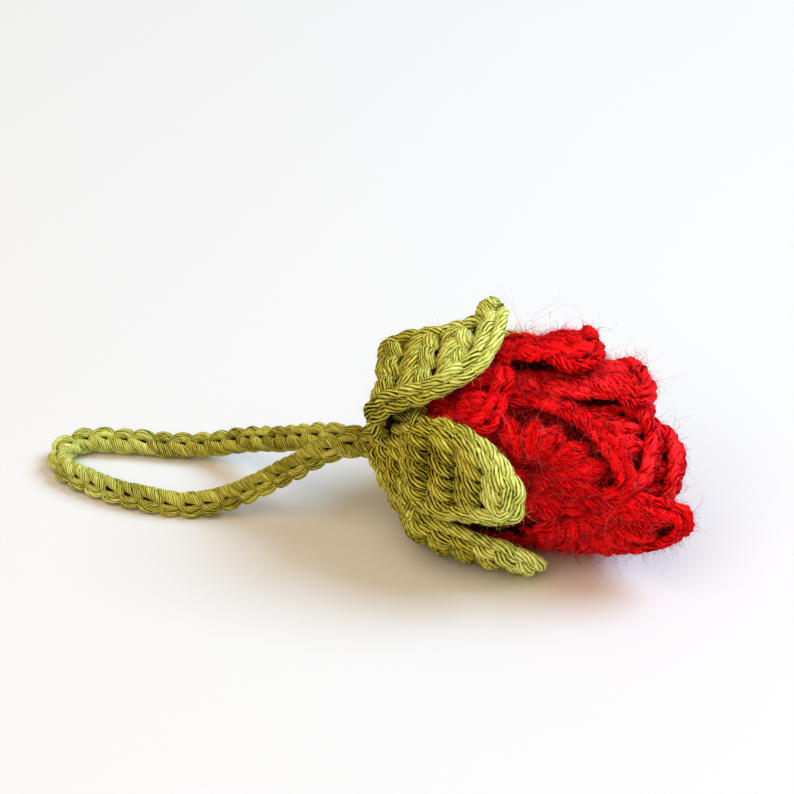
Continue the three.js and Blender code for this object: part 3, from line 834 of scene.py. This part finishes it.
def hem(sepal, wool):
    """The chain along the edge of a sepal, up one side, round the tip and down the other."""
    up = np.linspace(0.0, HEM_END, HEM_SIDE_STEPS)
    below, above = sepal.halves_at(HEM_END, HEM_INSET)
    q = np.concatenate([up, np.full(HEM_TIP_STEPS, HEM_END), up[::-1]])
    tip = np.linspace(above, -below, HEM_TIP_STEPS)
    p = np.concatenate([sepal.half(1, up) - HEM_INSET, tip, HEM_INSET - sepal.half(0, up)[::-1]])
    line, normal = sepal.put(p, q, HEM_HEIGHT)
    window = np.ones(HEM_WINDOW) / HEM_WINDOW
    padded = np.pad(line, ((HEM_WINDOW // 2, HEM_WINDOW // 2), (0, 0)), mode="edge")
    line = np.stack([np.convolve(padded[:, i], window, mode="valid") for i in range(3)], axis=1)
    out = unit(np.cross(normal, unit(np.gradient(line, axis=0))))
    if np.sum(out * (line - line.mean(axis=0))) < 0:
        out = -out
    pale = np.clip((q - HEM_PAINTED_LIGHT_START) / HEM_PAINTED_LIGHT_RUN, 0, 1)
    chain(wool, line, HEM_OUT * out + HEM_UP * normal, HEM_PITCH, HEM_WIDTH, HEM_YARN, pale=pale, **PLIED)


def sepal_piece(sepal):
    wool = Wool(sepal.name + "_yarn")
    ribs(sepal, wool)
    hem(sepal, wool)
    if sepal.name == "sepal_top":
        vees(sepal, wool)
        bobble(sepal, wool)
    wool.fuzz(GREEN_FIBRES, *SHORT_GREEN)
    wool.fuzz(PALE_FIBRES, *PALE_GREEN)
    wool.build(sepal.name, [sepal.name], "green_yarn")


# The stitches of the cup, and the chain round its rim
CUP_SPACING = 2.15
CUP_ACROSS = np.array([0.7, 0.4, -0.2, -0.8])
CUP_ALONG = np.array([-0.14, 0.22, 0.66, 1.12])
CUP_HEIGHT = [-1.1, 0.8, 1.0, -0.9]
CUP_YARN = 1.02
CUP_RINGS = 11
CUP_REAR_ALONG = np.array([0.0, 0.5, 1.0])
CUP_REAR_HEIGHT = [-0.4, -0.8, -0.4]
CUP_REAR_YARN = 1.35
CUP_RIM_INSET, CUP_RIM_HEIGHT = 0.4, 0.5
CUP_RIM_PITCH, CUP_RIM_WIDTH, CUP_RIM_YARN = 3.6, 2.6, 1.05


def cup_piece():
    cup = Cup()
    wool = Wool("calyx_cup_yarn")
    marks = np.linspace(CUP_FIRST_ROW, cup.length + CUP_PAST_RIM, CUP_ROWS + 1)
    for low, high in zip(marks[:-1], marks[1:]):
        around = 2 * math.pi * cup.radius((low + high) / 2)
        count = stitches(around, CUP_SPACING, fewest=8)
        step = high - low
        for k in range(count):
            degree = 360 * k / count
            p = degree + 360 / around * CUP_ACROSS
            cup.ear(wool, p, low + step * CUP_ALONG, CUP_HEIGHT, CUP_YARN, CUP_RINGS, **PLIED)
            cup.ear(wool, degree, low + step * CUP_REAR_ALONG, CUP_REAR_HEIGHT, CUP_REAR_YARN, **CUP_REAR)
    rim, normal = cup.put(np.linspace(0, 360, RIM_STEPS), cup.length - CUP_RIM_INSET, CUP_RIM_HEIGHT)
    chain(wool, rim, normal, CUP_RIM_PITCH, CUP_RIM_WIDTH, CUP_RIM_YARN, **PLIED)
    wool.fuzz(GREEN_FIBRES, *SHORT_GREEN)
    wool.build("bud", ["calyx_cup"], "green_yarn")


# The strands of one stitch of the cord: places along it in mm, aside and outward in radii, thickness and look
CORD_STRANDS = [
    ([-3.2, -1.7, 0.4, 2.2, 3.4], [-0.25, 0.12, 0.42, 0.6, 0.5], [-0.2, 0.5, 0.6, 0.25, -0.3], 0.95, CORDED),
    ([-2.6, -1.2, 0.4, 1.8, 2.8], [0.35, 0.6, 0.72, 0.6, 0.4], [-0.3, 0.0, -0.15, -0.4, -0.6], 0.8, CORDED),
    ([-2.2, -1.0, 0.2, 1.3, 2.3], [-0.1, -0.4, -0.5, -0.42, -0.1], [0.1, 0.46, 0.5, 0.34, -0.1], 0.62, CORDED),
    ([-2.3, -1.2, 0.1, 1.4, 2.4], [-0.35, -0.78, -0.92, -0.8, -0.35], [-0.1, 0.0, 0.04, -0.06, -0.25], 0.66, SCALLOPED),
    ([-2.2, -1.0, 0.2, 1.3, 2.3], [-0.2, -0.3, -0.35, -0.3, -0.2], [-0.3, -0.6, -0.66, -0.6, -0.4], 0.8,
     {"sides": PLAIN_SIDES}),
]
CORD_FRONT = 0.3
CORD_CORE = 0.55
CORE_STEP = 1.0


def cord_stitches(wool, path):
    """A crocheted cord: long slanted strands on its inner edge, open scallops on its outer edge, and a core."""
    radius = CORD_DIAMETER / 2
    run = run_along(path)
    count = stitches(run[-1], CORD_PITCH, fewest=1)
    step = run[-1] / count
    tangent = unit(np.gradient(path, axis=0))
    facing = unit(CORD_FACING - (tangent @ CORD_FACING)[:, None] * tangent)
    aside = np.cross(tangent, facing)
    for i in range(count):
        for along, beside, outside, thick, look in CORD_STRANDS:
            x = (i + 0.5) * step + np.array(along)
            place = np.clip(x, 0, run[-1])
            front = pick(run, facing, place)
            outward = pick(run, aside, place) * np.array(beside)[:, None] + front * np.array(outside)[:, None]
            points = pick(run, path, place) + radius * outward + (x - place)[:, None] * pick(run, tangent, place)
            points = points + rng.normal(0, CORD_JITTER, points.shape)
            points[:, 2] = np.maximum(points[:, 2], thick)
            # Painted light: the stitches turn paler towards the loop's end
            far = (POLE_X - CORD_PAINTED_LIGHT_START - points[:, 0].mean()) / CORD_PAINTED_LIGHT_RUN
            pale = CORD_PAINTED_LIGHT[0] + CORD_PAINTED_LIGHT[1] * float(np.clip(far, 0, 1))
            normal = even(unit(outward + CORD_FRONT * front), CHAIN_RINGS)
            girth = thick * rng.uniform(*CHAIN_GIRTHS)
            wool.strand(smooth(points, CHAIN_RINGS), girth, normal, pale=pale, **look)
    core = even(path, stitches(run[-1], CORE_STEP, fewest=4))
    wool.strand(core, radius * CORD_CORE, CORD_FACING, sides=PLAIN_SIDES, tint=CORE_PAINTED_SHADE)


def route(points):
    return smooth([(POLE_X + a, AXIS_Y + b, c) for a, b, c in points], CORD_STEPS)


def leg_start(side):
    across = side * LEG_SPACING / 2 * math.cos(LEG_TWIST)
    height = AXIS_Z - LEG_SAG - side * LEG_SPACING / 2 * math.sin(LEG_TWIST)
    return (LEG_START, across, height)


def ramp(nodes, stops):
    made = nodes.new("ShaderNodeValToRGB")
    elements = made.color_ramp.elements
    elements[0].position, elements[1].position = stops[0][0], stops[-1][0]
    elements[0].color, elements[1].color = (*stops[0][1], 1), (*stops[-1][1], 1)
    for position, colour in stops[1:-1]:
        elements.new(position).color = (*colour, 1)
    return made


def tune(node, values):
    for socket, value in values.items():
        node.inputs[socket].default_value = value


# The sockets of a mix node, which have the same names for numbers and for colours
NUMBER_A, NUMBER_B, NUMBER_OUT = 2, 3, 0
COLOUR_A, COLOUR_B, COLOUR_OUT = 6, 7, 2


def blend(nodes, links, share, first, second):
    """A mix of two numbers."""
    made = nodes.new("ShaderNodeMix")
    made.data_type = "FLOAT"
    made.inputs[0].default_value = share
    links.new(first, made.inputs[NUMBER_A])
    links.new(second, made.inputs[NUMBER_B])
    return made.outputs[NUMBER_OUT]


def attribute(nodes, name):
    made = nodes.new("ShaderNodeAttribute")
    made.attribute_name = name
    return made.outputs["Fac"]


def streaks(nodes, links, uv, stretch, detail):
    """Noise that is drawn out along the strand."""
    mapping = nodes.new("ShaderNodeMapping")
    tune(mapping, {"Scale": (*stretch, 1.0)})
    links.new(uv.outputs["UV"], mapping.inputs["Vector"])
    noise = nodes.new("ShaderNodeTexNoise")
    tune(noise, {"Scale": 1.0, "Detail": detail, "Roughness": 0.6})
    links.new(mapping.outputs["Vector"], noise.inputs["Vector"])
    return noise.outputs["Fac"]


def material(name):
    mat = bpy.data.materials.new(name)
    mat.use_nodes = True
    return mat, mat.node_tree.nodes, mat.node_tree.links, mat.node_tree.nodes["Principled BSDF"]


# One wave for each ply, the stretch of fine fibres, what they and a strand's tone and painted shade count, and depth
# and roughness
PLY_SCALE = math.pi / 10
FIBRE_STRETCH = (0.7, 5.0)
FIBRE_WEIGHT = 0.3
TONE_AND_SHADE_WEIGHT = 0.1
GROOVE_DEPTH = 0.00025
ROUGH_SPREAD = 0.1


def yarn_material(name, usual, paler_and_lit, ply_share, stretch, depth, rough):
    """Plied yarn: grooves and fibres run along each strand, its grooves in painted shade and its crests in painted
    highlight; each strand has its own tone, and some is paler, at random and as painted light.
    """
    mat, nodes, links, shader = material(name)
    uv = nodes.new("ShaderNodeUVMap")
    uv.uv_map = "fibre"
    plies = nodes.new("ShaderNodeTexWave")
    plies.bands_direction = "Y"
    tune(plies, {"Scale": PLY_SCALE, "Distortion": 3.5, "Detail": 2.0, "Detail Scale": 2.0})
    links.new(uv.outputs["UV"], plies.inputs["Vector"])
    clumps = streaks(nodes, links, uv, stretch, 2.0)
    fibres = streaks(nodes, links, uv, FIBRE_STRETCH, 3.0)
    grooves = blend(nodes, links, 1 - ply_share, plies.outputs["Fac"], clumps)
    height = blend(nodes, links, FIBRE_WEIGHT, grooves, fibres)
    shade = blend(nodes, links, TONE_AND_SHADE_WEIGHT, height, attribute(nodes, "tint"))
    place = nodes.new("ShaderNodeTexCoord")
    cloud = nodes.new("ShaderNodeTexNoise")
    tune(cloud, {"Scale": 70.0, "Detail": 2.0})
    links.new(place.outputs["Object"], cloud.inputs["Vector"])
    patch = nodes.new("ShaderNodeMapRange")
    tune(patch, {"From Min": 0.42, "From Max": 0.72, "To Max": 0.2})
    links.new(cloud.outputs["Fac"], patch.inputs["Value"])
    # The paler ramp is mixed in by random patches of paler tone and by each strand's painted light
    amount = nodes.new("ShaderNodeMath")
    amount.operation = "ADD"
    amount.use_clamp = True
    links.new(patch.outputs["Result"], amount.inputs[0])
    links.new(attribute(nodes, "pale"), amount.inputs[1])
    colour = nodes.new("ShaderNodeMix")
    colour.data_type = "RGBA"
    links.new(amount.outputs[0], colour.inputs[0])
    for stops, socket in ((usual, COLOUR_A), (paler_and_lit, COLOUR_B)):
        made = ramp(nodes, stops)
        links.new(shade, made.inputs["Fac"])
        links.new(made.outputs["Color"], colour.inputs[socket])
    links.new(colour.outputs[COLOUR_OUT], shader.inputs["Base Color"])
    bump = nodes.new("ShaderNodeBump")
    tune(bump, {"Strength": depth, "Distance": GROOVE_DEPTH})
    links.new(height, bump.inputs["Height"])
    links.new(bump.outputs["Normal"], shader.inputs["Normal"])
    roughness = nodes.new("ShaderNodeMapRange")
    tune(roughness, {"To Min": rough - ROUGH_SPREAD, "To Max": rough + ROUGH_SPREAD})
    links.new(fibres, roughness.inputs["Value"])
    links.new(roughness.outputs["Result"], shader.inputs["Roughness"])
    tune(shader, {"Specular IOR Level": 0.04})
    return mat


def hair_material(name, dark, light, palest):
    """Single loose fibres, each a little lighter or darker, and a few pale ones."""
    mat, nodes, links, shader = material(name)
    made = ramp(nodes, [(0.0, dark), (0.8, light), (1.0, palest)])
    links.new(attribute(nodes, "tint"), made.inputs["Fac"])
    links.new(made.outputs["Color"], shader.inputs["Base Color"])
    tune(shader, {"Roughness": 0.7, "Specular IOR Level": 0.1})
    return mat


# Ramps from painted shade in grooves and holes, through the yarn's own colour, to painted highlight on ply crests; the
# paler ramps serve random paler tone and painted light
RED_USUAL = [(0.15, (0.012, 0.0, 0.0)), (0.42, (0.1, 0.0, 0.0)), (0.475, (0.7, 0.0, 0.001)), (0.56, (1.0, 0.008, 0.01))]
RED_PALER_AND_LIT = [
    (0.15, (0.02, 0.0, 0.0)), (0.42, (0.16, 0.0, 0.004)), (0.475, (0.84, 0.003, 0.008)), (0.56, (1.0, 0.04, 0.05)),
]
GREEN_USUAL = [
    (0.38, (0.014, 0.007, 0.0)), (0.46, (0.22, 0.172, 0.004)), (0.53, (0.38, 0.325, 0.018)), (0.65, (0.76, 0.67, 0.11)),
]
GREEN_PALER_AND_LIT = [
    (0.36, (0.055, 0.045, 0.002)), (0.44, (0.41, 0.44, 0.045)), (0.52, (0.68, 0.73, 0.16)), (0.64, (0.95, 1.0, 0.4)),
]

# The materials of each slot, for the strands and for the loose fibres
YARNS = {
    "red_yarn": (
        yarn_material("red wool", RED_USUAL, RED_PALER_AND_LIT, ply_share=0.1, stretch=(0.7, 1.1), depth=1.0, rough=0.9),
        hair_material("red fibres", (0.34, 0.001, 0.002), (0.95, 0.014, 0.02), (0.95, 0.35, 0.36)),
    ),
    "green_yarn": (
        yarn_material(
            "green yarn", GREEN_USUAL, GREEN_PALER_AND_LIT, ply_share=0.32, stretch=(0.6, 1.25), depth=0.9, rough=0.8
        ),
        hair_material("green fibres", (0.36, 0.32, 0.02), (0.62, 0.6, 0.1), (0.82, 0.84, 0.32)),
    ),
}

turn = 0.0
for row in PETALS:
    petal = Petal(row, turn)
    petal_piece(petal)
    turn = petal.stop
for row in SEPALS:
    sepal_piece(Sepal(row))
cup_piece()

# The rolled base, as rings that grow and sway along the axis, and the yarns that bind and sew it
BUD_AXIS = np.array([1.0, 0.0, 0.0])
BASE_RINGS = 26
BASE_RING_STEPS = 33
BASE_INNER, BASE_GROWTH, BASE_SHARE = 0.16, 0.78, 0.85
BASE_SWAY, BASE_SWAY_TURN = 1.2, 2.4
BASE_RING_TURN = 40
BASE_YARN = 1.1
TIE_STEPS = 61


def extent(box):
    """The middle of a solid along the bud, half its thickness that way, and its outer radius."""
    low, high = (np.array(v) / MM for v in box)
    return (low[0] + high[0]) / 2 - POLE_X, (high[0] - low[0]) / 2, (high[1] - low[1]) / 2


middle, _, outer = extent(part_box("rolled_base"))
wool = Wool("rolled_base_yarn")
for k in range(BASE_RINGS):
    radius = outer * (BASE_INNER + BASE_GROWTH * (k / BASE_RINGS)) * BASE_SHARE
    along = middle + BASE_SWAY * math.sin(k * BASE_SWAY_TURN)
    angles = np.linspace(0, 360, BASE_RING_STEPS) + BASE_RING_TURN * k
    wool.strand(on_bud(along, radius, angles), BASE_YARN, BUD_AXIS, sides=PLAIN_SIDES)
wool.build("bud", ["rolled_base"], "red_yarn")
for node, slot in (("base_binding_yarn", "red_yarn"), ("calyx_sewing_yarn", "green_yarn")):
    middle, thick, outer = extent(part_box(node))
    wool = Wool(node + "_yarn")
    wool.strand(on_bud(middle, outer - thick, np.linspace(0, 360, TIE_STEPS)), thick, BUD_AXIS)
    wool.build("bud", [node], slot)

# The hanging loop, and its root as two short legs into the cup's pole
cord_path = route([leg_start(-1), *NEAR_LEG, *LOOP_END, *FAR_LEG, leg_start(1)])
wool = Wool("hanging_loop_yarn")
cord_stitches(wool, cord_path)
wool.fuzz(CORD_FIBRES, *CORD_GREEN)
cord = wool.build("loop", ["hanging_loop"], "green_yarn")
wool = Wool("loop_root_yarn")
for side in (-1, 1):
    x, across, height = leg_start(side)
    leg = [(x - 0.6, across, height), (-2.6, across * 0.9, height + 0.5), (1.2, across * 0.75, AXIS_Z)]
    cord_stitches(wool, route(leg))
wool.build("loop_root", ["loop_root_knot"], "green_yarn")

# Floor
bpy.ops.mesh.primitive_plane_add(size=3)
floor = bpy.context.object
floor.name = "floor"
paper, nodes, links, shader = material("pale floor")
grain = nodes.new("ShaderNodeTexNoise")
tune(grain, {"Scale": 3.0})
tone = ramp(nodes, [(0.0, (0.76, 0.745, 0.745)), (1.0, (0.79, 0.78, 0.785))])
links.new(grain.outputs["Fac"], tone.inputs["Fac"])
links.new(tone.outputs["Color"], shader.inputs["Base Color"])
tune(shader, {"Roughness": 0.9})
floor.data.materials.append(paper)

# Camera: from the photograph's side, with the bud to the right of the picture's middle
AZIMUTH, ELEVATION = math.radians(8), math.radians(33)
DISTANCE = 0.45
PIXELS, PIXELS_PER_METRE = 794, 5500.0
BUD_MIDDLE = Vector((0, -0.0015, 0.0185))
BUD_RIGHT, BUD_BELOW = 137.5, 55
SENSOR = 36
level = math.cos(ELEVATION)
forward = Vector((-math.sin(AZIMUTH) * level, math.cos(AZIMUTH) * level, -math.sin(ELEVATION)))
right = Vector((math.cos(AZIMUTH), math.sin(AZIMUTH), 0))
above = right.cross(forward)
target = BUD_MIDDLE - right * (BUD_RIGHT / PIXELS_PER_METRE) + above * (BUD_BELOW / PIXELS_PER_METRE)
camera = bpy.data.objects.new("camera", bpy.data.cameras.new("camera"))
bpy.context.scene.collection.objects.link(camera)
camera.location = target - forward * DISTANCE
camera.rotation_euler = forward.to_track_quat("-Z", "Y").to_euler()
camera.data.sensor_width = SENSOR
camera.data.lens = SENSOR * DISTANCE / (PIXELS / PIXELS_PER_METRE)
bpy.context.scene.camera = camera

# Light: a cool key from the right, a warm fill from the front, and warm light all round
LAMP_TARGET = Vector((-0.01, 0, 0.02))


def lamp(name, place, size, power, colour):
    data = bpy.data.lights.new(name, "AREA")
    data.shape = "DISK"
    data.size = size
    data.energy = power
    data.color = colour
    obj = bpy.data.objects.new(name, data)
    bpy.context.scene.collection.objects.link(obj)
    obj.location = place
    obj.rotation_euler = (LAMP_TARGET - Vector(place)).to_track_quat("-Z", "Y").to_euler()


lamp("key", (0.98, 0.29, 1.22), size=1.0, power=29.0, colour=(0.53, 0.75, 1.0))
lamp("fill", (-0.3, -0.9, 1.4), size=1.8, power=18.0, colour=(1.0, 0.8, 0.6))
world = bpy.data.worlds.new("studio")
bpy.context.scene.world = world
world.use_nodes = True
tune(world.node_tree.nodes["Background"], {"Color": (1.0, 0.84, 0.58, 1), "Strength": 0.43})

bpy.context.scene.view_settings.view_transform = "Standard"
